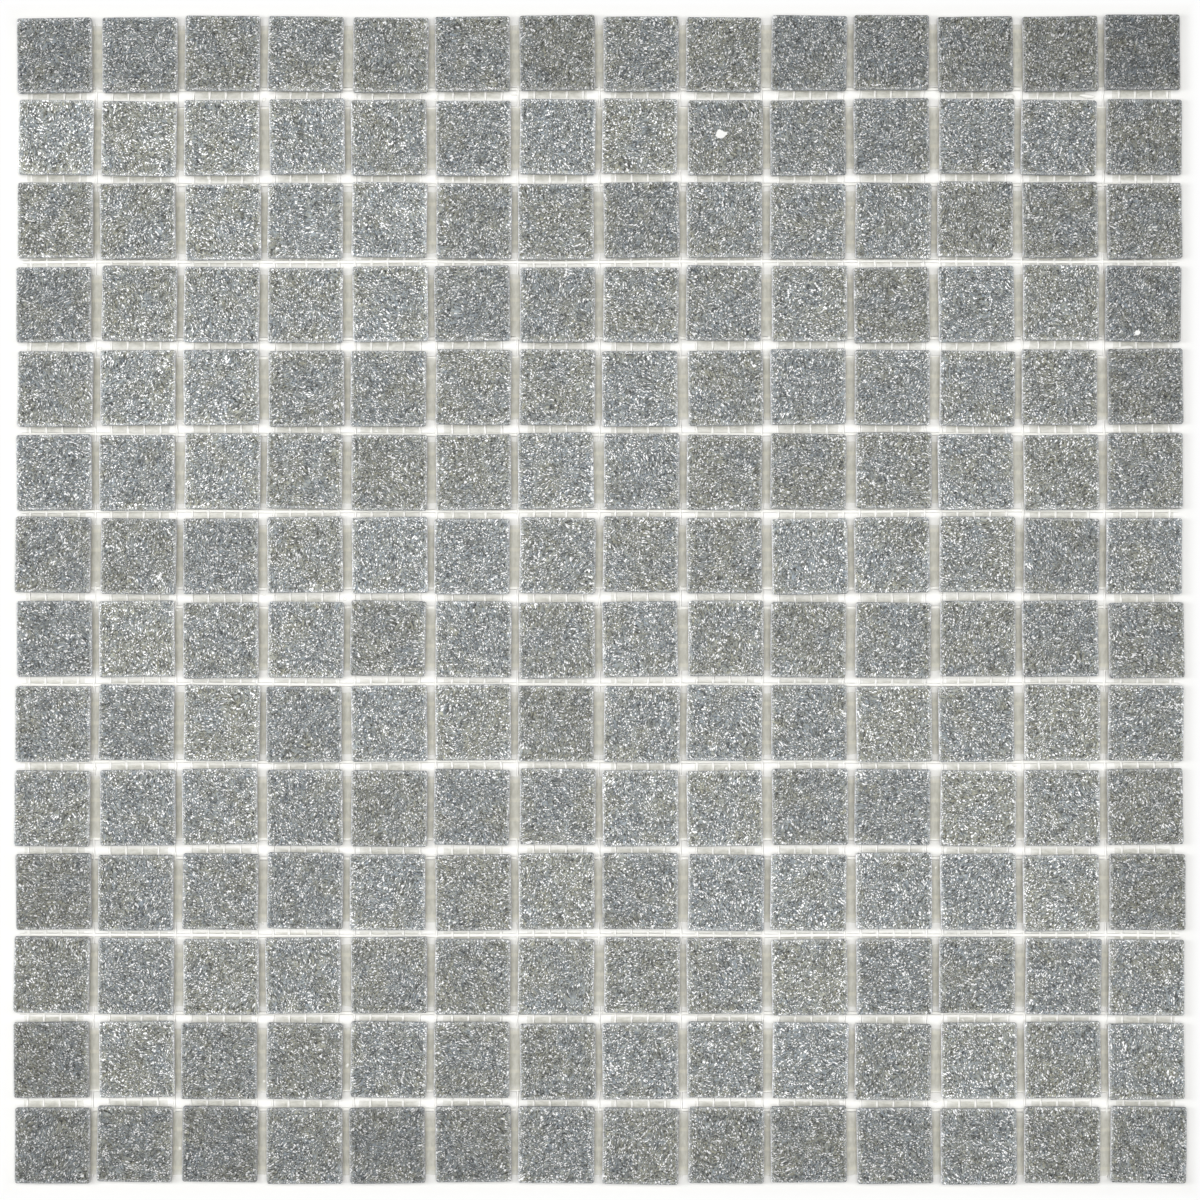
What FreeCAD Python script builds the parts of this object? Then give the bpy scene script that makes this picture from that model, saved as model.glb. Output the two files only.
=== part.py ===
import FreeCAD, Part
import math
import os

import Sketcher

# Glass mosaic tile sheet, face up: square vitreous glass tiles bonded in a grid
# on an open glass-fibre mesh. Units are millimetres. The origin is the middle
# of the underside of the mesh, X runs along a row, Y points to the first row
# and Z points out of the tile faces.

Vector = FreeCAD.Vector

SIZES = {
    # one glass tile
    "tile_side": 19.8,
    "tile_thick": 4.0,
    "corner_radius": 1.1,
    "front_round": 0.6,
    "rim_height": 1.4,
    "back_inset": 0.7,
    "groove_count": 5,
    "groove_pitch": 3.3,
    "groove_width": 1.7,
    "groove_floor": 1.1,
    "groove_depth": 0.45,
    # how the tiles are laid
    "tiles_per_side": 14,
    "joint_gap": 2.14,
    "lay_wander": 0.28,
    "lay_turn": 0.85,
    # the mesh behind them
    "warp_pitch": 4.27,
    "warp_width": 0.75,
    "warp_depth": 0.24,
    "weft_pitch": 5.05,
    "weft_width": 0.95,
    "weft_depth": 0.24,
    "bond_depth": 0.12,
    "mesh_inset": 0.9,
    "wefts_per_strip": 5,
}

TILE_PITCH = "(Sizes.tile_side + Sizes.joint_gap)"
MESH_THICK = "(Sizes.warp_depth + Sizes.weft_depth - Sizes.bond_depth)"
WEFT_BASE = "(Sizes.warp_depth - Sizes.bond_depth)"

# Angle steps, in degrees for each tile, that scatter the tiles a little as a
# hand does. None divides a full turn, so no row repeats the one before it.
STEP_ALONG = 137.5
STEP_ACROSS = 97.3
STEP_TURN = 61.9
HALF_TURN_SHARE = 4  # the groove direction changes within each group of four tiles


def make_sheet(doc):
    """The driving dimensions, one to a row, each cell under its own name."""
    sheet = doc.addObject("Spreadsheet::Sheet", "Sizes")
    for row, (name, value) in enumerate(SIZES.items(), start=1):
        sheet.set(f"A{row}", name)
        sheet.set(f"B{row}", str(value))
        sheet.setAlias(f"B{row}", name)
    doc.recompute()
    return sheet


def origin_feature(body, role):
    """One of a body's own origin planes or axes."""
    return next(item for item in body.Origin.OriginFeatures if item.Role == role)


def new_sketch(body, name, plane_role):
    sketch = body.newObject("Sketcher::SketchObject", name)
    sketch.AttachmentSupport = [(origin_feature(body, plane_role), "")]
    sketch.MapMode = "FlatFace"
    return sketch


def bind(sketch, constraint, name, formula):
    """Adds a dimension to a sketch, names it and ties it to the sheet."""
    sketch.renameConstraint(sketch.addConstraint(constraint), name)
    sketch.setExpression(f"Constraints.{name}", formula)


def edges_at(shape, height):
    """Names of the edges that lie wholly in the plane at one height."""
    slack = 1e-4
    names = []
    for number, edge in enumerate(shape.Edges, start=1):
        box = edge.BoundBox
        if abs(box.ZMin - height) < slack and abs(box.ZMax - height) < slack:
            names.append(f"Edge{number}")
    return names


def tile_outline(body, sizes):
    """A square with round corners, centred on the body's origin."""
    sketch = new_sketch(body, "tile_outline", "XY_Plane")
    half = sizes.tile_side / 2
    radius = sizes.corner_radius
    flat = half - radius
    quarter = math.pi / 2
    sides = []
    corners = []
    for number in range(4):
        turn = FreeCAD.Rotation(Vector(0, 0, 1), 90 * number)
        start = turn.multVec(Vector(-flat, -half, 0))
        end = turn.multVec(Vector(flat, -half, 0))
        middle = turn.multVec(Vector(flat, -flat, 0))
        circle = Part.Circle(middle, Vector(0, 0, 1), radius)
        arc = Part.ArcOfCircle(circle, quarter * (number - 1), quarter * number)
        sides.append(sketch.addGeometry(Part.LineSegment(start, end)))
        corners.append(sketch.addGeometry(arc))
    first, second = 1, 2
    centre = 3
    for number in range(4):
        following = sides[(number + 1) % 4]
        sketch.addConstraint(
            [
                Sketcher.Constraint("Tangent", sides[number], second, corners[number], first),
                Sketcher.Constraint("Tangent", corners[number], second, following, first),
            ]
        )
    for number in (0, 2):
        sketch.addConstraint(Sketcher.Constraint("Horizontal", sides[number]))
        sketch.addConstraint(Sketcher.Constraint("Vertical", sides[number + 1]))
    for number in (1, 2, 3):
        sketch.addConstraint(Sketcher.Constraint("Equal", corners[0], corners[number]))
    sketch.addConstraint(Sketcher.Constraint("Equal", sides[0], sides[1]))
    sketch.addConstraint(
        Sketcher.Constraint("Symmetric", corners[0], centre, corners[2], centre, -1, 1)
    )
    bind(
        sketch,
        Sketcher.Constraint("Radius", corners[0], radius),
        "corner",
        "Sizes.corner_radius",
    )
    bind(
        sketch,
        Sketcher.Constraint("DistanceX", sides[3], first, sides[1], first, 2 * half),
        "side",
        "Sizes.tile_side",
    )
    return sketch


def groove_profile(body, sizes):
    """The section of the first keying groove, wider at its mouth, on the back face."""
    sketch = new_sketch(body, "groove_profile", "XZ_Plane")
    middle = -sizes.groove_pitch * (sizes.groove_count - 1) / 2
    mouth = sizes.groove_width / 2
    floor = sizes.groove_floor / 2
    depth = sizes.groove_depth
    points = [
        Vector(middle - mouth, 0, 0),
        Vector(middle + mouth, 0, 0),
        Vector(middle + floor, depth, 0),
        Vector(middle - floor, depth, 0),
    ]
    lines = []
    for start, end in zip(points, points[1:] + points[:1]):
        lines.append(sketch.addGeometry(Part.LineSegment(start, end)))
    mouth_line, right_wall, floor_line, left_wall = lines
    first, second = 1, 2
    for line, following in zip(lines, lines[1:] + lines[:1]):
        sketch.addConstraint(Sketcher.Constraint("Coincident", line, second, following, first))
    sketch.addConstraint(Sketcher.Constraint("PointOnObject", mouth_line, first, -1))
    sketch.addConstraint(Sketcher.Constraint("Horizontal", mouth_line))
    sketch.addConstraint(Sketcher.Constraint("Horizontal", floor_line))
    sketch.addConstraint(Sketcher.Constraint("Equal", right_wall, left_wall))
    bind(
        sketch,
        Sketcher.Constraint("DistanceX", mouth_line, first, mouth_line, second, 2 * mouth),
        "mouth",
        "Sizes.groove_width",
    )
    bind(
        sketch,
        Sketcher.Constraint("DistanceX", floor_line, second, floor_line, first, 2 * floor),
        "floor",
        "Sizes.groove_floor",
    )
    bind(
        sketch,
        Sketcher.Constraint("DistanceY", right_wall, first, right_wall, second, depth),
        "depth",
        "Sizes.groove_depth",
    )
    bind(
        sketch,
        Sketcher.Constraint("DistanceX", mouth_line, second, -1, first, -middle - mouth),
        "place",
        "Sizes.groove_pitch * (Sizes.groove_count - 1) / 2 - Sizes.groove_width / 2",
    )
    return sketch


def make_tile(doc, sizes):
    """One pressed glass tile, its grooved back on the body's XY plane."""
    body = doc.addObject("PartDesign::Body", "tile")

    blank = body.newObject("PartDesign::Pad", "tile_blank")
    blank.Profile = tile_outline(body, sizes)
    blank.setExpression("Length", "Sizes.tile_thick")
    doc.recompute()

    # the sides lean in below the rim, so the back is smaller than the face
    taper = body.newObject("PartDesign::Chamfer", "tapered_sides")
    taper.Base = (blank, edges_at(blank.Shape, 0))
    taper.ChamferType = "Two distances"
    taper.FlipDirection = True
    taper.setExpression("Size", "Sizes.back_inset")
    taper.setExpression("Size2", "Sizes.tile_thick - Sizes.rim_height")
    doc.recompute()

    face_edge = body.newObject("PartDesign::Fillet", "rounded_face_edge")
    face_edge.Base = (taper, edges_at(taper.Shape, sizes.tile_thick))
    face_edge.setExpression("Radius", "Sizes.front_round")
    doc.recompute()

    groove = body.newObject("PartDesign::Pocket", "keying_groove")
    groove.Profile = groove_profile(body, sizes)
    groove.Type = "ThroughAll"
    groove.Midplane = True
    doc.recompute()
    if groove.Shape.Volume >= face_edge.Shape.Volume:
        raise RuntimeError("the keying groove cuts nothing")

    grooves = body.newObject("PartDesign::LinearPattern", "keying_grooves")
    grooves.Originals = [groove]
    grooves.Direction = (origin_feature(body, "X_Axis"), [""])
    grooves.setExpression("Length", "Sizes.groove_pitch * (Sizes.groove_count - 1)")
    grooves.setExpression("Occurrences", "Sizes.groove_count")
    body.Tip = grooves
    doc.recompute()
    return body


def make_tile_row(doc, tile, row, count):
    """One row of tiles: the same tile, set down again and again in its own spot."""
    middle = (count - 1) / 2
    placed = []
    for column in range(count):
        link = doc.addObject("App::Link", f"tile_{row + 1:02d}_{column + 1:02d}")
        link.LinkedObject = tile
        # counted from the middle of the sheet, so that the scatter is balanced
        place = count * row + column - (count * count - 1) / 2
        quarter = 90 * (((3 * row + 5 * column) % HALF_TURN_SHARE) // 2)
        link.Placement.Rotation.Axis = Vector(0, 0, 1)
        link.setExpression(
            ".Placement.Base.x",
            f"{TILE_PITCH} * {column - middle} + Sizes.lay_wander * sin({STEP_ALONG * place} deg)",
        )
        link.setExpression(
            ".Placement.Base.y",
            f"{TILE_PITCH} * {middle - row} + Sizes.lay_wander * sin({STEP_ACROSS * place} deg)",
        )
        link.setExpression(".Placement.Base.z", MESH_THICK)
        link.setExpression(
            ".Placement.Rotation.Angle",
            f"{quarter} + Sizes.lay_turn * sin({STEP_TURN * place} deg)",
        )
        placed.append(link)
    tiles = doc.addObject("Part::Compound", f"tile_row_{row + 1:02d}")
    tiles.Links = placed
    return tiles


def make_bar(doc, name, length, width, height, place):
    """One straight thread of the mesh as a flat bar. Each argument is a formula."""
    bar = doc.addObject("Part::Box", name)
    bar.setExpression("Length", length)
    bar.setExpression("Width", width)
    bar.setExpression("Height", height)
    for axis, formula in zip("xyz", place):
        bar.setExpression(f".Placement.Base.{axis}", formula)
    return bar


def make_mesh_strip(doc, name, warps, wefts):
    """A strip of mesh with its first end on the X axis, fused at each crossing."""
    across = f"(Sizes.warp_pitch * {warps})"
    along = f"(Sizes.weft_pitch * {wefts})"
    bars = []
    for number in range(wefts):
        bars.append(
            make_bar(
                doc,
                f"{name}_weft_{number + 1}",
                across,
                "Sizes.weft_width",
                "Sizes.weft_depth",
                (
                    f"-{across} / 2",
                    f"Sizes.weft_pitch * {number + 0.5} - Sizes.weft_width / 2",
                    WEFT_BASE,
                ),
            )
        )
    for number in range(warps):
        bars.append(
            make_bar(
                doc,
                f"{name}_warp_{number + 1:02d}",
                "Sizes.warp_width",
                along,
                "Sizes.warp_depth",
                (
                    f"Sizes.warp_pitch * {number - (warps - 1) / 2} - Sizes.warp_width / 2",
                    "0",
                    "0",
                ),
            )
        )
    strip = doc.addObject("Part::MultiFuse", name)
    strip.Shapes = bars
    return strip


def make_mesh(doc, sizes):
    """The whole mesh, in strips that meet end to end across the sheet."""
    sheet_side = (
        sizes.tiles_per_side * sizes.tile_side + (sizes.tiles_per_side - 1) * sizes.joint_gap
    )
    mesh_side = sheet_side - 2 * sizes.mesh_inset
    warps = int(mesh_side // sizes.warp_pitch)
    wefts = int(mesh_side // sizes.weft_pitch)
    per_strip = int(sizes.wefts_per_strip)
    strips = []
    made = {}
    laid = 0
    while laid < wefts:
        count = min(per_strip, wefts - laid)
        name = f"mesh_strip_{len(strips) + 1:02d}"
        if count in made:
            strip = doc.addObject("App::Link", name)
            strip.LinkedObject = made[count]
        else:
            strip = make_mesh_strip(doc, name, warps, count)
            made[count] = strip
        strip.setExpression(".Placement.Base.y", f"Sizes.weft_pitch * {laid - wefts / 2}")
        strips.append(strip)
        laid += count
    return strips


def check(doc, pieces):
    """Stops the build if anything failed to compute."""
    for item in doc.Objects:
        if "Invalid" in item.State or "Error" in item.State:
            raise RuntimeError(f"{item.Label} failed: {item.State}")
    for piece in pieces:
        shape = Part.getShape(piece)
        if shape.isNull() or not shape.isValid():
            raise RuntimeError(f"{piece.Label} has no valid shape")


def main():
    doc = FreeCAD.newDocument("mosaic_tile_sheet")
    sizes = make_sheet(doc)
    count = int(sizes.tiles_per_side)
    tile = make_tile(doc, sizes)
    pieces = []
    for row in range(count):
        pieces.append(make_tile_row(doc, tile, row, count))
    pieces += make_mesh(doc, sizes)
    doc.recompute()
    check(doc, pieces)
    os.makedirs("parts", exist_ok=True)
    for piece in pieces:
        Part.getShape(piece).exportStep(f"parts/{piece.Label}.step")
    return doc, pieces


main()
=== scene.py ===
import math

import bmesh
import bpy
import numpy as np
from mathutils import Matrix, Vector


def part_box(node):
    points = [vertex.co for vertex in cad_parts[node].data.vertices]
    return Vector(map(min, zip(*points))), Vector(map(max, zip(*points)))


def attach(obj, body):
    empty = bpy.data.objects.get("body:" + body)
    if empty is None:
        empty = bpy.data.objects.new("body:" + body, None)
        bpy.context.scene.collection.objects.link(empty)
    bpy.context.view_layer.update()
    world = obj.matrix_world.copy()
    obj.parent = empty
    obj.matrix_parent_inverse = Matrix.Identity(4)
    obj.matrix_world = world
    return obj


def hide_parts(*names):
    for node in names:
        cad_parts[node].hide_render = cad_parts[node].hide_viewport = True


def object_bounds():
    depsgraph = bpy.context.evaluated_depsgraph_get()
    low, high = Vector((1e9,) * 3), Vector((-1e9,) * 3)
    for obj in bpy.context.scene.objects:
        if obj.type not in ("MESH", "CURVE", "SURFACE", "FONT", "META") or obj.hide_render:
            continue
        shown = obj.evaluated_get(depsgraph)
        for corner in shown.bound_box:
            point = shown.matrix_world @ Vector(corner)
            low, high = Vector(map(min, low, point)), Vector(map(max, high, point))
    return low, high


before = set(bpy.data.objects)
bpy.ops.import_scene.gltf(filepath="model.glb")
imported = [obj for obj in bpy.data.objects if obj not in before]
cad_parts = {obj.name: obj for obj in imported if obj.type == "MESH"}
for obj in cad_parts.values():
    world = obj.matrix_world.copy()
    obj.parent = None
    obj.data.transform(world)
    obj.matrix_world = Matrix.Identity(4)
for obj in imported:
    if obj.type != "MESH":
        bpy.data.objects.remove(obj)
cad_low, cad_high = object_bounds()
MM = 0.001


# The backing mesh is an open leno weave of glass-fibre yarn, dipped in a stiff cream dressing.
# Pairs of thin warp yarns run along Y. They change sides between the broad, flat weft yarns
# that run along X, and so hold each weft in their twist.
mesh_strips = sorted(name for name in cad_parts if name.startswith("mesh_strip"))
strip_boxes = [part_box(name) for name in mesh_strips]
mesh_low = Vector(min(low[axis] for low, high in strip_boxes) for axis in range(3))
mesh_high = Vector(max(high[axis] for low, high in strip_boxes) for axis in range(3))
mesh_middle = 0.18 * MM
yarn_wander = 0.8 * MM
warp_spacing = 4.27 * MM
weft_spacing = 5.05 * MM
warp_pairs = round((mesh_high.x - mesh_low.x) / warp_spacing)
weft_yarns = round((mesh_high.y - mesh_low.y) / weft_spacing)
warp_pitch = (mesh_high.x - mesh_low.x) / warp_pairs
weft_pitch = (mesh_high.y - mesh_low.y) / weft_yarns


def add_node(tree, kind, inputs=None, **settings):
    """A node of that kind. Its inputs are values or other nodes' outputs, by name or number."""
    node = tree.nodes.new(kind)
    for name, value in settings.items():
        setattr(node, name, value)
    for name, value in (inputs or {}).items():
        if isinstance(value, bpy.types.NodeSocket):
            tree.links.new(value, node.inputs[name])
        else:
            node.inputs[name].default_value = value
    return node


def maths(tree, operation, *values):
    inputs = dict(enumerate(values))
    return add_node(tree, "ShaderNodeMath", inputs, operation=operation).outputs[0]


def vector_maths(tree, operation, *values):
    inputs = dict(enumerate(values))
    return add_node(tree, "ShaderNodeVectorMath", inputs, operation=operation).outputs[0]


def combine(tree, x, y, z):
    return add_node(tree, "ShaderNodeCombineXYZ", {0: x, 1: y, 2: z}).outputs[0]


def new_tree(name, **sockets):
    """An empty geometry tree with these named inputs, and the outputs that give their values."""
    tree = bpy.data.node_groups.new(name, "GeometryNodeTree")
    for label, kind in sockets.items():
        title = label.replace("_", " ").capitalize()
        tree.interface.new_socket(title, in_out="INPUT", socket_type="NodeSocket" + kind)
    tree.interface.new_socket("Geometry", in_out="OUTPUT", socket_type="NodeSocketGeometry")
    given = tree.nodes.new("NodeGroupInput")
    return tree, dict(zip(sockets, given.outputs))


def end_tree(tree, geometry, material, rounded=True):
    """Closes a tree: real geometry, shaded smooth where it is rounded, in its material."""
    smooth = add_node(
        tree, "GeometryNodeSetShadeSmooth", {"Geometry": geometry, "Shade Smooth": rounded}
    )
    real = add_node(tree, "GeometryNodeRealizeInstances", {"Geometry": smooth.outputs[0]})
    dressed = add_node(
        tree, "GeometryNodeSetMaterial", {"Geometry": real.outputs[0], "Material": material}
    )
    out = tree.nodes.new("NodeGroupOutput")
    tree.links.new(dressed.outputs[0], out.inputs[0])


def grow(name, tree, start_mesh=None, **values):
    """The plain mesh object that a tree makes from these values for its named inputs."""
    piece = bpy.data.objects.new(name, start_mesh or bpy.data.meshes.new(name))
    bpy.context.scene.collection.objects.link(piece)
    maker = piece.modifiers.new("maker", "NODES")
    maker.node_group = tree
    titles = {label.replace("_", " ").capitalize(): value for label, value in values.items()}
    for socket in tree.interface.items_tree:
        if socket.in_out == "INPUT" and socket.name in titles:
            maker[socket.identifier] = titles[socket.name]
    graph = bpy.context.evaluated_depsgraph_get()
    graph.update()
    mesh = bpy.data.meshes.new_from_object(
        piece.evaluated_get(graph), preserve_all_data_layers=True, depsgraph=graph
    )
    mesh.name = name
    piece.modifiers.remove(maker)
    piece.data = mesh
    return piece


def new_material(name, **sockets):
    """A material, its node tree and its shader, with the shader's own sockets set."""
    material = bpy.data.materials.new(name)
    material.use_nodes = True
    shader = material.node_tree.nodes["Principled BSDF"]
    for label, value in sockets.items():
        shader.inputs[label.replace("_", " ")].default_value = value
    return material, material.node_tree, shader


def in_millimetres(tree):
    place = add_node(tree, "ShaderNodeTexCoord").outputs["Object"]
    return vector_maths(tree, "MULTIPLY", place, (1000, 1000, 1000))


def noise(tree, vector, scale, detail=2, roughness=0.5):
    inputs = {"Vector": vector, "Scale": scale, "Detail": detail, "Roughness": roughness}
    return add_node(tree, "ShaderNodeTexNoise", inputs)


def drift(tree, place, scale):
    """Smooth noise along each axis, half of it below zero."""
    return vector_maths(tree, "SUBTRACT", noise(tree, place, scale, 1).outputs[1], (0.5, 0.5, 0.5))


def moved(tree, geometry, offset):
    inputs = {"Geometry": geometry, "Offset": offset}
    return add_node(tree, "GeometryNodeSetPosition", inputs).outputs[0]


def wavered(tree, geometry, scale, amount):
    """A geometry with its points moved by smooth noise, at most half the amount each way."""
    place = add_node(tree, "GeometryNodeInputPosition").outputs[0]
    return moved(tree, geometry, vector_maths(tree, "MULTIPLY", drift(tree, place, scale), amount))


def real_copies(tree, points, instance):
    inputs = {"Points": points, "Instance": instance}
    copies = add_node(tree, "GeometryNodeInstanceOnPoints", inputs).outputs[0]
    return add_node(tree, "GeometryNodeRealizeInstances", {"Geometry": copies}).outputs[0]


def map_range(tree, value, low, high, to_low, to_high, kind="LINEAR"):
    inputs = {"Value": value, 1: low, 2: high, 3: to_low, 4: to_high}
    return add_node(tree, "ShaderNodeMapRange", inputs, interpolation_type=kind).outputs[0]


def mix_colour(tree, factor, first, second):
    inputs = {0: factor, 6: first, 7: second}
    return add_node(tree, "ShaderNodeMix", inputs, data_type="RGBA").outputs[2]


def bump(tree, shader, height, strength, distance):
    inputs = {"Height": height, "Strength": strength, "Distance": distance}
    node = add_node(tree, "ShaderNodeBump", inputs)
    tree.links.new(node.outputs[0], shader.inputs["Normal"])


def yarn_material(name, along, dark, pale):
    """Dressed glass-fibre yarn. Its filaments run along X or Y."""
    material, tree, shader = new_material(name, Roughness=0.42, IOR=1.5)
    place = in_millimetres(tree)
    fine, drawn = 12, 0.5
    stretch = (drawn, fine, fine) if along == "X" else (fine, drawn, fine)
    filaments = noise(tree, vector_maths(tree, "MULTIPLY", place, stretch), 1, 3, 0.6).outputs[0]
    patches = noise(tree, place, 0.35, 2).outputs[0]
    thread = mix_colour(tree, filaments, (*dark, 1), (*pale, 1))
    dressing = maths(tree, "MULTIPLY", patches, 0.6)
    dressed = mix_colour(tree, dressing, thread, (*pale, 1))
    tree.links.new(dressed, shader.inputs["Base Color"])
    bump(tree, shader, filaments, 0.5, 0.00004)
    return material


def laid_lines(tree, given, count, end, apart, sway):
    """Swaying lines side by side, and how far each point on them is from the start."""
    line = add_node(tree, "GeometryNodeCurvePrimitiveLine", {"End": end})
    stepped = add_node(
        tree, "GeometryNodeResampleCurve", {"Curve": line.outputs[0], "Count": given["steps"]}
    )
    row = add_node(
        tree,
        "GeometryNodeMeshLine",
        {"Count": count, "Start Location": given["start"], "Offset": apart},
    )
    laid = real_copies(tree, row.outputs[0], stepped.outputs[0])
    place = add_node(tree, "GeometryNodeInputPosition").outputs[0]
    travelled = vector_maths(tree, "SUBTRACT", place, given["start"])
    return wavered(tree, laid, *sway), add_node(tree, "ShaderNodeSeparateXYZ", {0: travelled})


def yarn_tube(tree, curves, given, sides):
    """Gives curves the flattened section of a yarn."""
    flat = add_node(tree, "GeometryNodeSetCurveNormal", {"Curve": curves}, mode="Z_UP")
    circle = add_node(
        tree, "GeometryNodeCurvePrimitiveCircle", {"Resolution": sides, "Radius": 0.5}
    )
    section = combine(tree, given["yarn_width"], given["yarn_depth"], 1)
    squashed = add_node(
        tree, "GeometryNodeTransform", {"Geometry": circle.outputs[0], "Scale": section}
    )
    tube = add_node(
        tree,
        "GeometryNodeCurveToMesh",
        {"Curve": flat.outputs[0], "Profile Curve": squashed.outputs[0], "Fill Caps": True},
    )
    return tube.outputs[0]


def warp_tree():
    """Pairs of thin yarns along Y. The two of a pair change sides between the wefts."""
    tree, given = new_tree(
        "leno warp yarns",
        start="Vector",
        length="Float",
        steps="Int",
        pairs="Int",
        pair_pitch="Float",
        weft_pitch="Float",
        half_gap="Float",
        rise="Float",
        yarn_width="Float",
        yarn_depth="Float",
        wander="Float",
        material="Material",
    )
    loose, travelled = laid_lines(
        tree,
        given,
        count=given["pairs"],
        end=combine(tree, 0, given["length"], 0),
        apart=combine(tree, given["pair_pitch"], 0, 0),
        sway=(28, combine(tree, given["wander"], 0, 0)),
    )
    wefts_passed = maths(tree, "DIVIDE", travelled.outputs[1], given["weft_pitch"])
    picks = maths(tree, "SUBTRACT", wefts_passed, 0.5)
    sideways = maths(tree, "COSINE", maths(tree, "MULTIPLY", picks, math.pi))
    upwards = maths(tree, "COSINE", maths(tree, "MULTIPLY", picks, 2 * math.pi))
    yarns = add_node(tree, "GeometryNodeJoinGeometry")
    for side in (1, -1):
        across = maths(tree, "MULTIPLY", sideways, maths(tree, "MULTIPLY", given["half_gap"], side))
        over = maths(tree, "MULTIPLY", upwards, maths(tree, "MULTIPLY", given["rise"], side))
        yarn = moved(tree, loose, combine(tree, across, 0, over))
        tree.links.new(yarn, yarns.inputs[0])
    end_tree(tree, yarn_tube(tree, yarns.outputs[0], given, 5), given["material"])
    return tree


def weft_tree():
    """Flat yarns along X, a little narrower where the warps hold them."""
    tree, given = new_tree(
        "flat weft yarns",
        start="Vector",
        length="Float",
        steps="Int",
        yarns="Int",
        yarn_pitch="Float",
        pair_pitch="Float",
        yarn_width="Float",
        yarn_depth="Float",
        pinch="Float",
        wander="Float",
        material="Material",
    )
    loose, travelled = laid_lines(
        tree,
        given,
        count=given["yarns"],
        end=combine(tree, given["length"], 0, 0),
        apart=combine(tree, 0, given["yarn_pitch"], 0),
        sway=(24, combine(tree, 0, given["wander"], 0)),
    )
    pairs_passed = maths(tree, "DIVIDE", travelled.outputs[0], given["pair_pitch"])
    between = maths(tree, "COSINE", maths(tree, "MULTIPLY", pairs_passed, 2 * math.pi))
    width = maths(tree, "MULTIPLY_ADD", between, given["pinch"], 1.0)
    pinched = add_node(tree, "GeometryNodeSetCurveRadius", {"Curve": loose, "Radius": width})
    end_tree(tree, yarn_tube(tree, pinched.outputs[0], given, 6), given["material"])
    return tree


steps_to_a_weft = 4
warp_yarn = yarn_material("warp yarn", "Y", (0.94, 0.935, 0.90), (1, 0.995, 0.975))
left_pairs = warp_pairs // 2
weaving = warp_tree()
mesh_yarns = []
for name, first, pairs in (
    ("warp_yarns_left", 0, left_pairs),
    ("warp_yarns_right", left_pairs, warp_pairs - left_pairs),
):
    warps = grow(
        name,
        weaving,
        start=(mesh_low.x + warp_pitch * (first + 0.5), mesh_low.y, mesh_middle),
        length=mesh_high.y - mesh_low.y,
        steps=weft_yarns * steps_to_a_weft + 1,
        pairs=pairs,
        pair_pitch=warp_pitch,
        weft_pitch=weft_pitch,
        half_gap=0.11 * MM,
        rise=0.07 * MM,
        yarn_width=0.58 * MM,
        yarn_depth=0.18 * MM,
        wander=yarn_wander,
        material=warp_yarn,
    )
    mesh_yarns.append(warps)
wefts = grow(
    "weft_yarns",
    weft_tree(),
    start=(mesh_low.x, mesh_low.y + weft_pitch / 2, mesh_middle),
    length=mesh_high.x - mesh_low.x,
    steps=warp_pairs * 2 + 1,
    yarns=weft_yarns,
    yarn_pitch=weft_pitch,
    pair_pitch=warp_pitch,
    yarn_width=0.95 * MM,
    yarn_depth=0.2 * MM,
    pinch=0.12,
    wander=yarn_wander,
    material=yarn_material("weft yarn", "X", (0.91, 0.905, 0.85), (1, 0.995, 0.965)),
)
mesh_yarns.append(wefts)
for yarns in mesh_yarns:
    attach(yarns, "root")
    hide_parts(*mesh_strips)


# The adhesive bonds each tile to the mesh. It is a clear-drying white glue, rolled on wet. In the
# joints it dries to a cream film, over the yarns between columns and under them between rows,
# with small glossy beads on it and three larger lumps. The film's grey-cream tones are painted
# shade of the deep joints, and it is painted white where light reaches the floor.
tile_rows = sorted(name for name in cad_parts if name.startswith("tile_row"))
row_boxes = [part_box(name) for name in tile_rows]
row_middles = [(low.y + high.y) / 2 for low, high in row_boxes]
tiles_a_side = len(tile_rows)
tile_pitch = (row_middles[0] - row_middles[-1]) / (tiles_a_side - 1)


def adhesive_material():
    material, tree, shader = new_material("dried adhesive", Roughness=0.22, IOR=1.47)
    place = in_millimetres(tree)
    cloud = noise(tree, place, 1.1, 2).outputs[0]
    colour = mix_colour(tree, cloud, (0.84, 0.835, 0.79, 1), (0.98, 0.975, 0.95, 1))
    tree.links.new(colour, shader.inputs["Base Color"])
    bump(tree, shader, noise(tree, place, 2.6, 2).outputs[0], 0.3, 0.0001)
    return material


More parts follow.
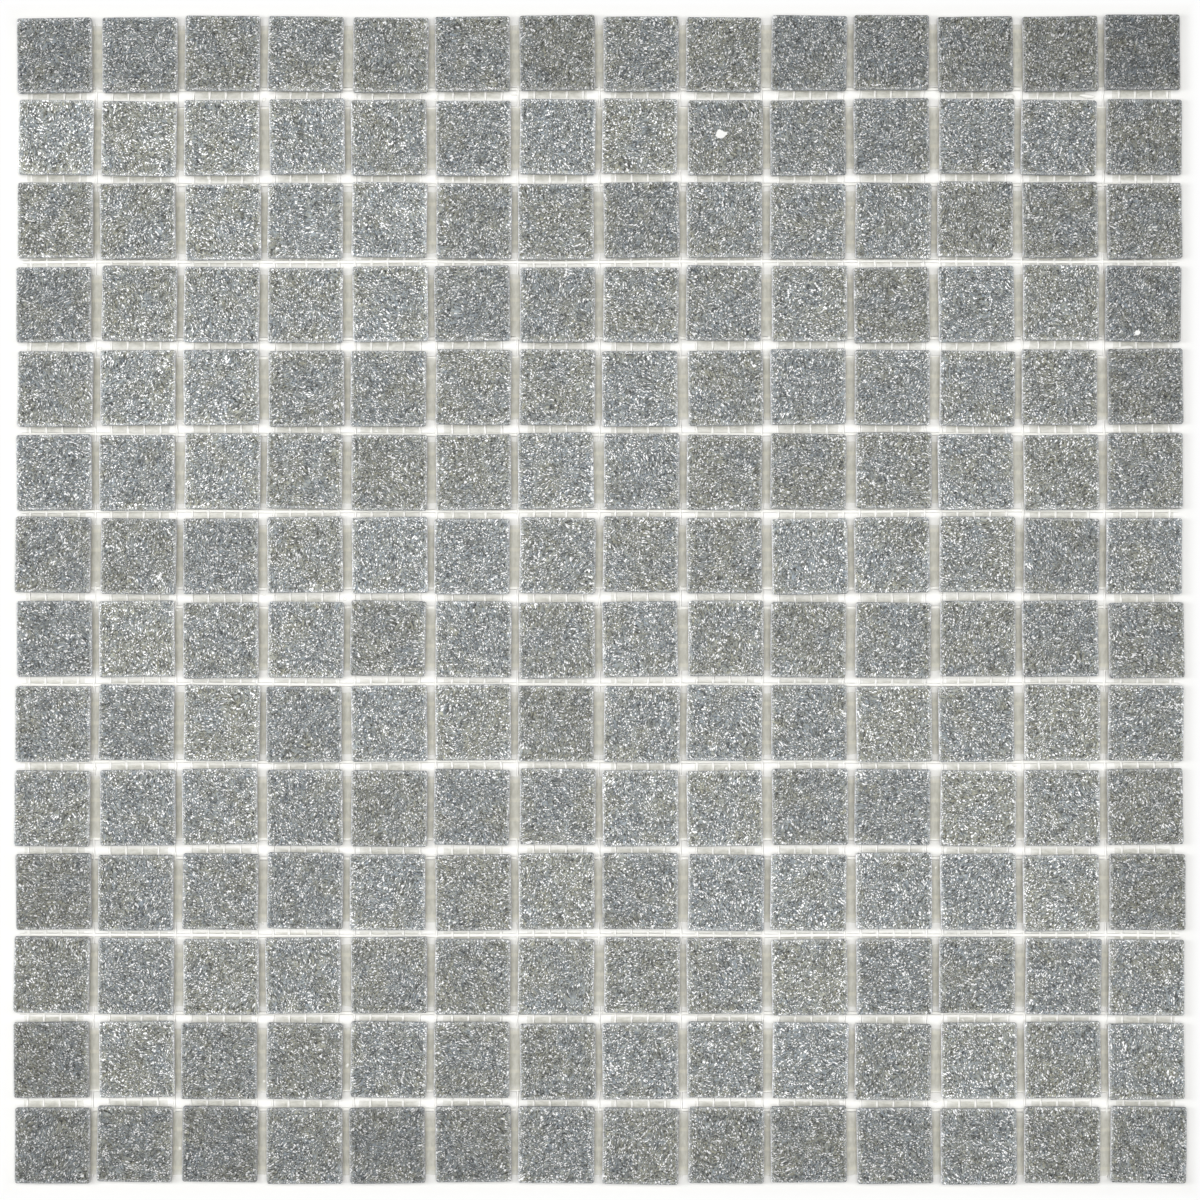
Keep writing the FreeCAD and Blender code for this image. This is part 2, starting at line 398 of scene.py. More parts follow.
def bead_tree():
    """Small uneven drops, each at a random place in some joint."""
    tree, given = new_tree(
        "adhesive beads",
        count="Int",
        joints="Int",
        joint_pitch="Float",
        spread="Float",
        half_joint="Float",
        height="Float",
        small="Vector",
        large="Vector",
        ragged="Float",
        seed="Int",
        material="Material",
    )

    def chance(kind, low, high, step, output):
        first = {"FLOAT": 2, "INT": 4, "FLOAT_VECTOR": 0}[kind]
        seed = maths(tree, "ADD", given["seed"], step)
        inputs = {first: low, first + 1: high, "Seed": seed}
        return add_node(tree, "FunctionNodeRandomValue", inputs, data_type=kind).outputs[output]

    last = maths(tree, "SUBTRACT", given["joints"], 1)
    joint = chance("INT", 0, last, 1, 2)
    from_middle = maths(tree, "SUBTRACT", joint, maths(tree, "MULTIPLY", last, 0.5))
    line = maths(tree, "MULTIPLY", from_middle, given["joint_pitch"])
    back = maths(tree, "MULTIPLY", given["spread"], -1)
    along = chance("FLOAT", back, given["spread"], 2, 1)
    left = maths(tree, "MULTIPLY", given["half_joint"], -1)
    across = maths(tree, "ADD", line, chance("FLOAT", left, given["half_joint"], 3, 1))
    beside_column = combine(tree, across, along, given["height"])
    beside_row = combine(tree, along, across, given["height"])
    pick = maths(tree, "GREATER_THAN", chance("FLOAT", 0.0, 1.0, 4, 1), 0.5)
    place = add_node(
        tree,
        "GeometryNodeSwitch",
        {"Switch": pick, "False": beside_column, "True": beside_row},
        input_type="VECTOR",
    ).outputs[0]
    points = add_node(tree, "GeometryNodePoints", {"Count": given["count"], "Position": place})
    ball = add_node(tree, "GeometryNodeMeshIcoSphere", {"Radius": 1.0, "Subdivisions": 2})
    spin = combine(tree, 0, 0, chance("FLOAT", 0.0, 6.28, 5, 1))
    beads = add_node(
        tree,
        "GeometryNodeInstanceOnPoints",
        {
            "Points": points.outputs[0],
            "Instance": ball.outputs[0],
            "Rotation": spin,
            "Scale": chance("FLOAT_VECTOR", given["small"], given["large"], 6, 0),
        },
    )
    real = add_node(tree, "GeometryNodeRealizeInstances", {"Geometry": beads.outputs[0]})
    ragged = combine(tree, given["ragged"], given["ragged"], 0)
    runny = wavered(tree, real.outputs[0], 900, ragged)
    end_tree(tree, runny, given["material"])
    return tree


adhesive = adhesive_material()
beads = grow(
    "adhesive_beads",
    bead_tree(),
    count=70,
    joints=tiles_a_side - 1,
    joint_pitch=tile_pitch,
    spread=mesh_high.x - 1.5 * MM,
    half_joint=1.2 * MM,
    height=0.25 * MM,
    small=(0.25 * MM, 0.2 * MM, 0.08 * MM),
    large=(0.8 * MM, 0.5 * MM, 0.2 * MM),
    ragged=0.4 * MM,
    seed=11,
    material=adhesive,
)
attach(beads, "root")


def film_tree():
    """A grid of thin strips with ragged edges, one for each tile side."""
    tree, given = new_tree(
        "adhesive film",
        columns="Int",
        rows="Int",
        pitch="Float",
        size="Vector",
        height="Float",
        ragged="Float",
        uneven="Float",
        material="Material",
    )

    def reach(number):
        return maths(tree, "MULTIPLY", maths(tree, "SUBTRACT", number, 1), given["pitch"])

    middles = add_node(
        tree,
        "GeometryNodeMeshGrid",
        {
            "Size X": reach(given["columns"]),
            "Size Y": reach(given["rows"]),
            "Vertices X": given["columns"],
            "Vertices Y": given["rows"],
        },
    )
    raised = moved(tree, middles.outputs[0], combine(tree, 0, 0, given["height"]))
    strip = add_node(
        tree,
        "GeometryNodeMeshCube",
        {"Size": given["size"], "Vertices X": 5, "Vertices Y": 5, "Vertices Z": 2},
    )
    strips = real_copies(tree, raised, strip.outputs[0])
    ragged = combine(tree, given["ragged"], given["ragged"], given["uneven"])
    end_tree(tree, wavered(tree, strips, 320, ragged), given["material"], rounded=False)
    return tree


# Places on the sheet are in millimetres in the materials.
first_weft = (mesh_low.y + weft_pitch / 2) / MM
half_pitch = tile_pitch / MM / 2
changeover = 35
full_change = 100
# Painted light: the film is painted white towards the crossings, and along one side between rows.
lit_film_white = (0.93, 0.927, 0.908, 1)
film_on_weft = (0.8, 0.77, 0.64, 1)


def film_material(name, along, light_pool_within, dark, pale):
    """Dried adhesive film, its grey-cream tones painted shade of the deep joints. Painted light
    whitens it along X or Y, towards where the joints cross.
    """
    material, tree, shader = new_material(name, Roughness=0.5, IOR=1.47)
    place = in_millimetres(tree)
    drawn = (0.8, 1.6, 1) if along == "X" else (1.6, 0.8, 1)
    cloud = noise(tree, vector_maths(tree, "MULTIPLY", place, drawn), 0.7, 3, 0.6).outputs[0]
    clouded = map_range(tree, cloud, 0.3, 0.7, 0.0, 1.0)
    shaded_film = mix_colour(tree, clouded, (*dark, 1), (*pale, 1))
    axes = add_node(tree, "ShaderNodeSeparateXYZ", {0: place}).outputs
    # Painted light, towards where the joints cross and light reaches the floor.
    to_crossing = maths(tree, "PINGPONG", axes[along], half_pitch)
    thin = map_range(tree, to_crossing, 0.0, light_pool_within, 1.0, 0.0)
    if along == "X":
        # Between rows the film is also painted whiter along one side, the lower one above the
        # changeover and the upper one below it, and more so further from it: painted light on the
        # side that faces the middle of the sheet.
        shifted = maths(tree, "ADD", axes["Y"], half_pitch)
        from_tile = maths(tree, "FLOORED_MODULO", shifted, 2 * half_pitch)
        off_joint = maths(tree, "SUBTRACT", from_tile, half_pitch)
        past_change = maths(tree, "SUBTRACT", axes["Y"], changeover)
        beyond = maths(tree, "DIVIDE", past_change, full_change)
        outward = maths(tree, "MULTIPLY", off_joint, beyond)
        thin = maths(tree, "MAXIMUM", thin, map_range(tree, outward, 0.15, -0.6, 0.0, 0.9))
    film_with_painted_light = mix_colour(tree, thin, shaded_film, lit_film_white)
    from_first = maths(tree, "SUBTRACT", axes["Y"], first_weft)
    to_weft = maths(tree, "PINGPONG", from_first, weft_pitch / MM / 2)
    over_weft = map_range(tree, to_weft, 0.3, 0.65, 0.3, 0.0)
    colour = mix_colour(tree, over_weft, film_with_painted_light, film_on_weft)
    tree.links.new(colour, shader.inputs["Base Color"])
    bump(tree, shader, noise(tree, place, 1.6, 2).outputs[0], 0.2, 0.00008)
    return material


spreading = film_tree()
# The films' grey-cream colours are painted shade of the deep joints.
film_over_yarns = film_material(
    "film over the yarns, painted shade and light", "Y", 4.8, (0.45, 0.441, 0.38), (0.61, 0.604, 0.548)
)
film_under_yarns = film_material(
    "film under the yarns, painted shade and light", "X", 6.0, (0.46, 0.455, 0.405), (0.69, 0.686, 0.635)
)
column_film = grow(
    "adhesive_film_columns",
    spreading,
    columns=tiles_a_side - 1,
    rows=tiles_a_side,
    pitch=tile_pitch,
    size=(3.5 * MM, 16.2 * MM, 0.12 * MM),
    height=0.28 * MM,
    ragged=0.9 * MM,
    uneven=0.04 * MM,
    material=film_over_yarns,
)
row_film = grow(
    "adhesive_film_rows",
    spreading,
    columns=tiles_a_side,
    rows=tiles_a_side - 1,
    pitch=tile_pitch,
    size=(15.6 * MM, 3.5 * MM, 0.04 * MM),
    height=0.05 * MM,
    ragged=0.9 * MM,
    uneven=0.02 * MM,
    material=film_under_yarns,
)

# The lumps: where each lies, half its length and half its width, in millimetres.
lump_sizes = ((128.3, 131.7, 2.0, 0.6), (137.9, 65.6, 2.1, 0.6), (107.8, 131.0, 1.4, 1.1))
lump_half_thickness = 0.45
lump_height = 0.62
lumps = bmesh.new()
for x, y, half_length, half_width in lump_sizes:
    made = bmesh.ops.create_icosphere(lumps, subdivisions=3, radius=MM)
    for vertex in made["verts"]:
        bent = 0.35 * math.sin(1.7 * vertex.co.x / MM + x)
        vertex.co.x *= half_length * (1 + 0.2 * math.sin(3 * vertex.co.y / MM + y))
        vertex.co.y = vertex.co.y * half_width + bent * half_width * MM
        vertex.co.z *= lump_half_thickness
        vertex.co += Vector((x, y, lump_height)) * MM
deposit_mesh = bpy.data.meshes.new("adhesive_deposits")
lumps.to_mesh(deposit_mesh)
lumps.free()
for face in deposit_mesh.polygons:
    face.use_smooth = True
deposit_mesh.materials.append(adhesive)
deposits = bpy.data.objects.new("adhesive_deposits", deposit_mesh)
bpy.context.scene.collection.objects.link(deposits)
for piece in (column_film, row_film, deposits):
    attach(piece, "root")


# The tiles are vitreous glass: glass grains pressed and fired into a square, 20 mm nominal, with
# a flat face, a rounded face edge, sides that lean in to a smaller back, and keying grooves. Each
# is laid by hand, so each lies where its solid does, a little off the grid and a little turned.
tile_half = 9.9 * MM
tile_thick = 4.0 * MM
rim_height = 1.4 * MM
back_inset = 0.7 * MM
corner_radius = 0.68 * MM
face_round = 0.3 * MM
groove_depth = 0.45 * MM
groove_pitch = 3.3 * MM
groove_mouth = 1.7 * MM
groove_floor = 1.1 * MM
grooves = 5
straight_steps = 6
corner_steps = 2
round_steps = 3
rim_band = 2.6 * MM
sharp_from = math.radians(35)
hair = 1e-6
solid_slack = 1e-5


def outline(half, radius, height):
    """A square with round corners, from the middle of one corner round to it again."""
    flat = half - radius
    side = []
    for step in range(corner_steps):
        angle = math.radians(225 + 45 * step / corner_steps)
        side.append((-flat + radius * math.cos(angle), -flat + radius * math.sin(angle)))
    for step in range(straight_steps + 1):
        side.append((-flat + 2 * flat * step / straight_steps, -half))
    for step in range(1, corner_steps):
        angle = math.radians(270 + 45 * step / corner_steps)
        side.append((flat + radius * math.cos(angle), -flat + radius * math.sin(angle)))
    return four_sides(side, height)


def even_square(half, height):
    """As many points as an outline has, evenly spaced on a square with sharp corners."""
    steps = straight_steps + 2 * corner_steps
    return four_sides([(-half + 2 * half * step / steps, -half) for step in range(steps)], height)


def four_sides(side, height):
    """The points of one side, turned into all four."""
    points = []
    for x, y in side:
        points.append((x, y, height))
    for _ in range(3):
        points += [(-y, x, z) for x, y, z in points[-len(side):]]
    return points


def tile_blank():
    """One tile, its back on the XY plane, with how near each point is to the rim."""
    level = groove_depth + 0.1 * MM
    taper_height = tile_thick - rim_height
    lean = back_inset * (1 - level / taper_height)
    rings = [
        outline(tile_half - back_inset, corner_radius - 0.3 * MM, 0),
        outline(tile_half - lean, corner_radius - 0.2 * MM, level),
        outline(tile_half, corner_radius, taper_height),
    ]
    for step in range(round_steps + 1):
        angle = math.radians(90 * step / round_steps)
        inset = face_round * (1 - math.cos(angle))
        height = tile_thick - face_round * (1 - math.sin(angle))
        rings.append(outline(tile_half - inset, corner_radius - inset, height))
    rings.append(even_square(tile_half - rim_band, tile_thick))

    shape = bmesh.new()
    loops = [[shape.verts.new(point) for point in ring] for ring in rings]
    around = len(loops[0])
    for lower, upper in zip(loops, loops[1:]):
        for here in range(around):
            following = (here + 1) % around
            shape.faces.new((lower[here], lower[following], upper[following], upper[here]))
    shape.faces.new(loops[-1])
    shape.faces.new(list(reversed(loops[0])))

    middles = [groove_pitch * (number - (grooves - 1) / 2) for number in range(grooves)]
    for middle in middles:
        for off in (-groove_mouth, -groove_floor, groove_floor, groove_mouth):
            low = [face for face in shape.faces if max(v.co.z for v in face.verts) < level + hair]
            parts = set(low)
            for face in low:
                parts.update(face.verts)
                parts.update(face.edges)
            bmesh.ops.bisect_plane(
                shape,
                geom=list(parts),
                dist=1e-7,
                plane_co=(middle + off / 2, 0, 0),
                plane_no=(1, 0, 0),
            )
    for vertex in shape.verts:
        away = min(abs(vertex.co.x - middle) for middle in middles)
        if vertex.co.z < hair and away < groove_floor / 2 + hair:
            vertex.co.z = groove_depth

    bmesh.ops.recalc_face_normals(shape, faces=shape.faces)
    mesh = bpy.data.meshes.new("tile_blank")
    shape.to_mesh(mesh)
    shape.free()
    nearness = mesh.attributes.new("rim_nearness", "FLOAT", "POINT")
    for vertex, value in zip(mesh.vertices, nearness.data):
        inside = tile_half - max(abs(vertex.co.x), abs(vertex.co.y))
        value.value = max(0.0, 1 - inside / rim_band)
    back = mesh.attributes.new("keyed_back", "BOOLEAN", "FACE")
    for face, value in zip(mesh.polygons, back.data):
        value.value = face.center.z < level / 2 or face.normal.z < -0.5
    for face in mesh.polygons:
        face.use_smooth = True
    mesh.set_sharp_from_angle(angle=sharp_from)
    return bpy.data.objects.new("tile_blank", mesh)


def tile_spots(name):
    """The middle and turn of each solid in a row, read from its corners."""
    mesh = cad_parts[name].data
    corners = np.empty(len(mesh.vertices) * 3)
    mesh.vertices.foreach_get("co", corners)
    corners = corners.reshape(-1, 3)
    base = corners[:, 2].min()
    spots = []
    for column in range(tiles_a_side):
        middle = (column - (tiles_a_side - 1) / 2) * tile_pitch
        own = corners[abs(corners[:, 0] - middle) < tile_pitch / 2]
        face = np.unique(own[own[:, 2] > base + tile_thick - solid_slack].round(6), axis=0)
        centre = (face.min(axis=0) + face.max(axis=0)) / 2
        around = (face[:, 0] - centre[0]) + 1j * (face[:, 1] - centre[1])
        turn = np.angle(-np.sum(around**4)) / 4
        floor = own[abs(own[:, 2] - base - groove_depth) < solid_slack] - centre
        along_x = (floor[:, 0] ** 2).sum() > (floor[:, 1] ** 2).sum()
        spots.append((centre[0], centre[1], base, turn + (math.pi / 2 if along_x else 0)))
    return spots


outer_row_shade = 0.83
outer_column_shade = 0.88
lighter_tiles = {(1, 0): 1.25, (4, 2): 1.12, (5, 1): 1.1}


def shade(row, column):
    """How light a tile renders. A painted shade falls off across the sheet and leans paler toward
    the top-left and bottom-right corners, the outer tiles are darker, and a few stand out.
    """
    last = tiles_a_side - 1
    down = 2 * row / last - 1
    across = 2 * column / last - 1
    light = 1 - 0.02 * down**2 - 0.025 * across + 0.12 * down * across
    if row in (0, last):
        light *= outer_row_shade
    if column in (0, last):
        light *= outer_column_shade
    return light * lighter_tiles.get((row, column), 1.0)


def tile_tree():
    """Copies of the blank on their spots, with waved edges, kept inside the corners given."""
    tree, given = new_tree(
        "laid tiles",
        spots="Geometry",
        blank="Object",
        smallest="Float",
        largest="Float",
        edge_wave="Float",
        face_wave="Float",
        low_corner="Vector",
        high_corner="Vector",
        seed="Int",
        material="Material",
        back_material="Material",
    )
    turn = add_node(
        tree, "GeometryNodeInputNamedAttribute", {"Name": "turn"}, data_type="FLOAT"
    ).outputs[0]
    size = add_node(
        tree,
        "FunctionNodeRandomValue",
        {2: given["smallest"], 3: given["largest"], "Seed": given["seed"]},
        data_type="FLOAT",
    ).outputs[1]
    blank = add_node(tree, "GeometryNodeObjectInfo", {"Object": given["blank"]})
    copies = add_node(
        tree,
        "GeometryNodeInstanceOnPoints",
        {
            "Points": given["spots"],
            "Instance": blank.outputs["Geometry"],
            "Rotation": combine(tree, 0, 0, turn),
            "Scale": combine(tree, size, size, 1),
        },
    )
    chance = add_node(
        tree,
        "FunctionNodeRandomValue",
        {0: (0, 0, 0), 1: (1, 1, 1), "Seed": maths(tree, "ADD", given["seed"], 50)},
        data_type="FLOAT_VECTOR",
    ).outputs[0]
    marked = add_node(
        tree,
        "GeometryNodeStoreNamedAttribute",
        {"Geometry": copies.outputs[0], "Name": "tile_chance", "Value": chance},
        data_type="FLOAT_VECTOR",
        domain="INSTANCE",
    )
    real = add_node(tree, "GeometryNodeRealizeInstances", {"Geometry": marked.outputs[0]})
    place = add_node(tree, "GeometryNodeInputPosition").outputs[0]
    normal = add_node(tree, "GeometryNodeInputNormal").outputs[0]
    upward = add_node(tree, "ShaderNodeSeparateXYZ", {0: normal}).outputs[2]
    wave = map_range(
        tree, maths(tree, "ABSOLUTE", upward), 0.0, 1.0, given["edge_wave"], given["face_wave"]
    )
    swell = maths(tree, "SUBTRACT", noise(tree, place, 210, 2).outputs[0], 0.5)
    shift = add_node(
        tree,
        "ShaderNodeVectorMath",
        {0: normal, "Scale": maths(tree, "MULTIPLY", swell, wave)},
        operation="SCALE",
    ).outputs[0]
    waved = moved(tree, real.outputs[0], shift)
    held = vector_maths(
        tree,
        "MINIMUM",
        vector_maths(tree, "MAXIMUM", place, given["low_corner"]),
        given["high_corner"],
    )
    kept_in = add_node(tree, "GeometryNodeSetPosition", {"Geometry": waved, "Position": held})
    whole = add_node(tree, "GeometryNodeRealizeInstances", {"Geometry": kept_in.outputs[0]})
    glazed = add_node(
        tree,
        "GeometryNodeSetMaterial",
        {"Geometry": whole.outputs[0], "Material": given["material"]},
    )
    is_back = add_node(
        tree, "GeometryNodeInputNamedAttribute", {"Name": "keyed_back"}, data_type="BOOLEAN"
    ).outputs[0]
    dressed = add_node(
        tree,
        "GeometryNodeSetMaterial",
        {"Geometry": glazed.outputs[0], "Selection": is_back, "Material": given["back_material"]},
    )
    out = tree.nodes.new("NodeGroupOutput")
    tree.links.new(dressed.outputs[0], out.inputs[0])
    return tree


warm_grains = (1.075, 1.05, 0.775, 1)
blue_grains = (0.855, 0.997, 1.135, 1)
crumbs_and_glint_white = (0.86, 0.88, 0.9, 1)
dark_edge_reflection = (0.26, 0.295, 0.35, 1)
highlight_white = (0.95, 0.96, 0.98, 1)


def glass_grains(tree):
    """The grains of the glass: their colour, and a height for their relief."""
    place = in_millimetres(tree)
    chance = add_node(tree, "ShaderNodeAttribute", attribute_name="tile_chance").outputs["Vector"]
    tone, hue, turn = add_node(tree, "ShaderNodeSeparateXYZ", {0: chance}).outputs
    rim = add_node(tree, "ShaderNodeAttribute", attribute_name="rim_nearness").outputs["Fac"]
    tone_and_shade = add_node(tree, "ShaderNodeAttribute", attribute_name="tile_shade").outputs["Fac"]
    own = vector_maths(tree, "ADD", place, vector_maths(tree, "MULTIPLY", chance, (97, 83, 71)))

    # The press turns and draws the grains, more in one tile than in the next.
    turned = add_node(
        tree,
        "ShaderNodeVectorRotate",
        {"Vector": own, "Angle": maths(tree, "MULTIPLY", turn, math.pi)},
        rotation_type="Z_AXIS",
    ).outputs[0]
    swirl = vector_maths(tree, "MULTIPLY", drift(tree, own, 0.14), (5, 5, 5))
    pushed = vector_maths(tree, "ADD", turned, swirl)
    bend = vector_maths(tree, "MULTIPLY", drift(tree, own, 2.3), (0.5, 0.5, 0.5))
    drawn = vector_maths(tree, "MULTIPLY", vector_maths(tree, "ADD", pushed, bend), (1, 0.7, 0.8))

    # Grey grains of many shades, with paler and with clear ones among them.
    cells = add_node(tree, "ShaderNodeTexVoronoi", {"Vector": drawn, "Scale": 3.35})
    cell_chance, cell_hue, _ = add_node(
        tree, "ShaderNodeSeparateColor", {0: cells.outputs["Color"]}
    ).outputs
    fine = noise(tree, drawn, 4.6, 2, 0.6).outputs[0]
    uneven = map_range(tree, fine, 0.3, 0.7, -0.31, 0.31)
    grain = maths(tree, "ADD", maths(tree, "MULTIPLY", cell_chance, 0.75), uneven)
    ground = map_range(tree, grain, -0.1, 0.85, 0.0, 0.46)

    # White flecks: some of the larger grains, each a bent, drawn-out drop.
    flecks = add_node(tree, "ShaderNodeTexVoronoi", {"Vector": drawn, "Scale": 2.4})
    fleck_chance, fleck_size, _ = add_node(
        tree, "ShaderNodeSeparateColor", {0: flecks.outputs["Color"]}
    ).outputs
    reach = map_range(tree, fleck_size, 0.0, 1.0, 0.28, 0.53)
    shown = maths(tree, "GREATER_THAN", fleck_chance, 0.47)
    near = maths(tree, "SUBTRACT", reach, flecks.outputs["Distance"])
    drop = maths(tree, "MULTIPLY", map_range(tree, near, -0.03, 0.06, 0.0, 1.0), shown)
    halo = maths(tree, "MULTIPLY", map_range(tree, near, -0.22, -0.05, 0.0, 1.0), shown)
    dimmed = maths(tree, "MULTIPLY", ground, map_range(tree, halo, 0.0, 1.0, 1.0, 0.28))

    patch = noise(tree, own, 0.13, 2).outputs[0]
    leaning = maths(tree, "ADD", patch, maths(tree, "MULTIPLY_ADD", hue, 0.22, -0.09))
    inward = maths(tree, "MULTIPLY_ADD", rim, -0.1, leaning)
    blue_patch = map_range(tree, inward, 0.35, 0.62, 0.0, 0.33, "SMOOTHSTEP")
    blue_share = maths(tree, "MULTIPLY_ADD", cell_hue, 0.7, blue_patch)
    tint = mix_colour(tree, blue_share, warm_grains, blue_grains)
    tinted = vector_maths(tree, "MULTIPLY", tint, combine(tree, dimmed, dimmed, dimmed))
    speckled = mix_colour(tree, drop, tinted, (1, 1, 1, 1))

    # White crumbs stand along the rim, partly frosted glass and partly a painted glint, the very
    # edge is painted darker and bluer as a painted reflection, and a painted highlight whitens the
    # left edge of every tile, the right edge a little.
    crumbs = noise(tree, own, 4.2, 2, 0.6).outputs[0]
    # White crumbs along the rim, partly frosted glass and partly painted glint of the rounded edge.
    crumbs_and_glint = maths(
        tree,
        "MULTIPLY",
        map_range(tree, rim, 0.6, 0.85, 0.0, 1.0),
        map_range(tree, crumbs, 0.48, 0.62, 0.0, 0.75),
    )
    glinted = mix_colour(tree, crumbs_and_glint, speckled, crumbs_and_glint_white)
    # Painted dark reflection on the steep, rounded very edge.
    clear = maths(
        tree,
        "MULTIPLY",
        map_range(tree, rim, 0.9, 0.97, 0.0, 0.5),
        map_range(tree, crumbs, 0.42, 0.58, 1.0, 0.35),
    )
    reflected_edge = mix_colour(tree, clear, glinted, dark_edge_reflection)
    normal = add_node(tree, "ShaderNodeNewGeometry").outputs["Normal"]
    leftwards = add_node(tree, "ShaderNodeSeparateXYZ", {0: normal}).outputs[0]
    # Painted highlight: the left edge white, the right edge a little.
    left_highlight = maths(
        tree,
        "MULTIPLY",
        map_range(tree, leftwards, -0.15, -0.45, 0.0, 1.0),
        map_range(tree, crumbs, 0.4, 0.55, 0.25, 1.0),
    )
    right_highlight = maths(
        tree,
        "MULTIPLY",
        map_range(tree, leftwards, 0.2, 0.6, 0.0, 1.0),
        map_range(tree, crumbs, 0.4, 0.6, 0.15, 0.6),
    )
    edge_highlight = maths(tree, "MAXIMUM", left_highlight, right_highlight)
    highlighted = mix_colour(tree, edge_highlight, reflected_edge, highlight_white)

    # The rim is painted lighter: painted light that the glass scatters out at its edge.
    light = maths(
        tree,
        "MULTIPLY",
        map_range(tree, tone, 0.0, 1.0, 0.835, 1.045),
        map_range(tree, rim, 0.0, 1.0, 1.0, 1.15),
    )
    clumps = map_range(tree, noise(tree, own, 0.4, 2).outputs[0], 0.3, 0.7, 0.78, 1.22)
    # tile_shade multiplies in each tile's tone and the painted shade across the sheet.
    light = maths(tree, "MULTIPLY", maths(tree, "MULTIPLY", light, clumps), tone_and_shade)
    toned = vector_maths(tree, "MULTIPLY", highlighted, combine(tree, light, light, light))
    height = maths(tree, "ADD", maths(tree, "MULTIPLY", drop, 0.6), grain)
    return place, toned, height


mark_sizes = (((31.9, 121.5), (1.5, 1.0)), ((140.7, 69.1), (0.7, 0.7)))


def glue_marks(tree, place):
    """Where dried glue was left on two of the faces: 1 on a mark, 0 off it."""
    ragged = maths(tree, "SUBTRACT", noise(tree, place, 0.9, 3).outputs[0], 0.5)
    marked = 0.0
    for centre, half_size in mark_sizes:
        off = vector_maths(tree, "SUBTRACT", place, (*centre, 0))
        flat = vector_maths(tree, "DIVIDE", off, (*half_size, 1e4))
        far = add_node(tree, "ShaderNodeVectorMath", {0: flat}, operation="LENGTH")
        reach = maths(tree, "MULTIPLY_ADD", ragged, 1.5, far.outputs["Value"])
        marked = maths(tree, "MAXIMUM", map_range(tree, reach, 1.1, 0.9, 0.0, 1.0), marked)
    return marked


smear_and_glow_side = (0.93, 0.92, 0.87, 1)
dried_mark = (0.93, 0.93, 0.91, 1)
dried_smear = (0.80, 0.79, 0.74, 1)


def glass_material():
    """Grained glass, with sides painted pale wherever they face a joint: partly adhesive smear,
    partly painted light that the glass lets through.
    """
    material, tree, shader = new_material("vitreous glass", IOR=1.5, Specular_IOR_Level=0.15)
    place, grains, height = glass_grains(tree)
    off_middle = vector_maths(tree, "ABSOLUTE", place)
    x, y, up = add_node(tree, "ShaderNodeSeparateXYZ", {0: off_middle}).outputs
    # The lower sides are painted pale: adhesive smear and painted light through the glass.
    smeared = map_range(tree, up, 2.5, 3.1, 0.92, 0.5)
    below_face = map_range(tree, up, 3.75, 4.05, 1.0, 0.0)
    facing_joint = map_range(tree, maths(tree, "MAXIMUM", x, y), 150.6, 151.3, 1.0, 0.4)
    pale = maths(tree, "MULTIPLY", maths(tree, "MULTIPLY", smeared, below_face), facing_joint)
    sided = mix_colour(tree, pale, grains, smear_and_glow_side)
    colour = mix_colour(tree, glue_marks(tree, place), sided, dried_mark)
    tree.links.new(colour, shader.inputs["Base Color"])
    gloss = map_range(tree, noise(tree, place, 0.6, 2).outputs[0], 0.3, 0.7, 0.24, 0.4)
    tree.links.new(gloss, shader.inputs["Roughness"])
    bump(tree, shader, height, 0.35, 0.00005)
    return material


def back_material():
    """The grooved back of the tile, dull from the press and smeared with dried adhesive."""
    material, tree, shader = new_material("keyed glass back", IOR=1.5)
    place, grains, height = glass_grains(tree)
    smear = noise(tree, place, 0.32, 3, 0.6).outputs[0]
    glued = map_range(tree, smear, 0.42, 0.56, 0.0, 0.85, "SMOOTHSTEP")
    colour = mix_colour(tree, glued, grains, dried_smear)
    tree.links.new(colour, shader.inputs["Base Color"])
    tree.links.new(map_range(tree, glued, 0, 1, 0.6, 0.3), shader.inputs["Roughness"])
    bump(tree, shader, maths(tree, "ADD", height, glued), 0.3, 0.00008)
    return material


blank = tile_blank()
glass = glass_material()
dull_back = back_material()
laying = tile_tree()
for number, name in enumerate(tile_rows):
    spots = tile_spots(name)
    marks = bpy.data.meshes.new("spots")
    marks.from_pydata([(x, y, z) for x, y, z, turn in spots], [], [])
    turns = marks.attributes.new("turn", "FLOAT", "POINT")
    turns.data.foreach_set("value", [turn for x, y, z, turn in spots])
    shades = marks.attributes.new("tile_shade", "FLOAT", "POINT")
    shades.data.foreach_set("value", [shade(number, column) for column in range(tiles_a_side)])
    row = grow(
        name.replace("tile_row", "glass_tiles"),
        laying,
        marks,
        blank=blank,
        smallest=0.993,
        largest=1.003,
        edge_wave=0.26 * MM,
        face_wave=0.0,
        low_corner=cad_low,
        high_corner=cad_high,
        seed=100 + number,
        material=glass,
        back_material=dull_back,
    )
    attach(row, "root")
    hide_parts(name)
bpy.data.objects.remove(blank)


# The table is plain white. The sheet's soft shadow shows on it, and it fades to clean white
# further out.
table_half = 3.0
shadow_reach = 0.1535
white_from = 0.158
paper_white = (0.95, 0.947, 0.93, 1)


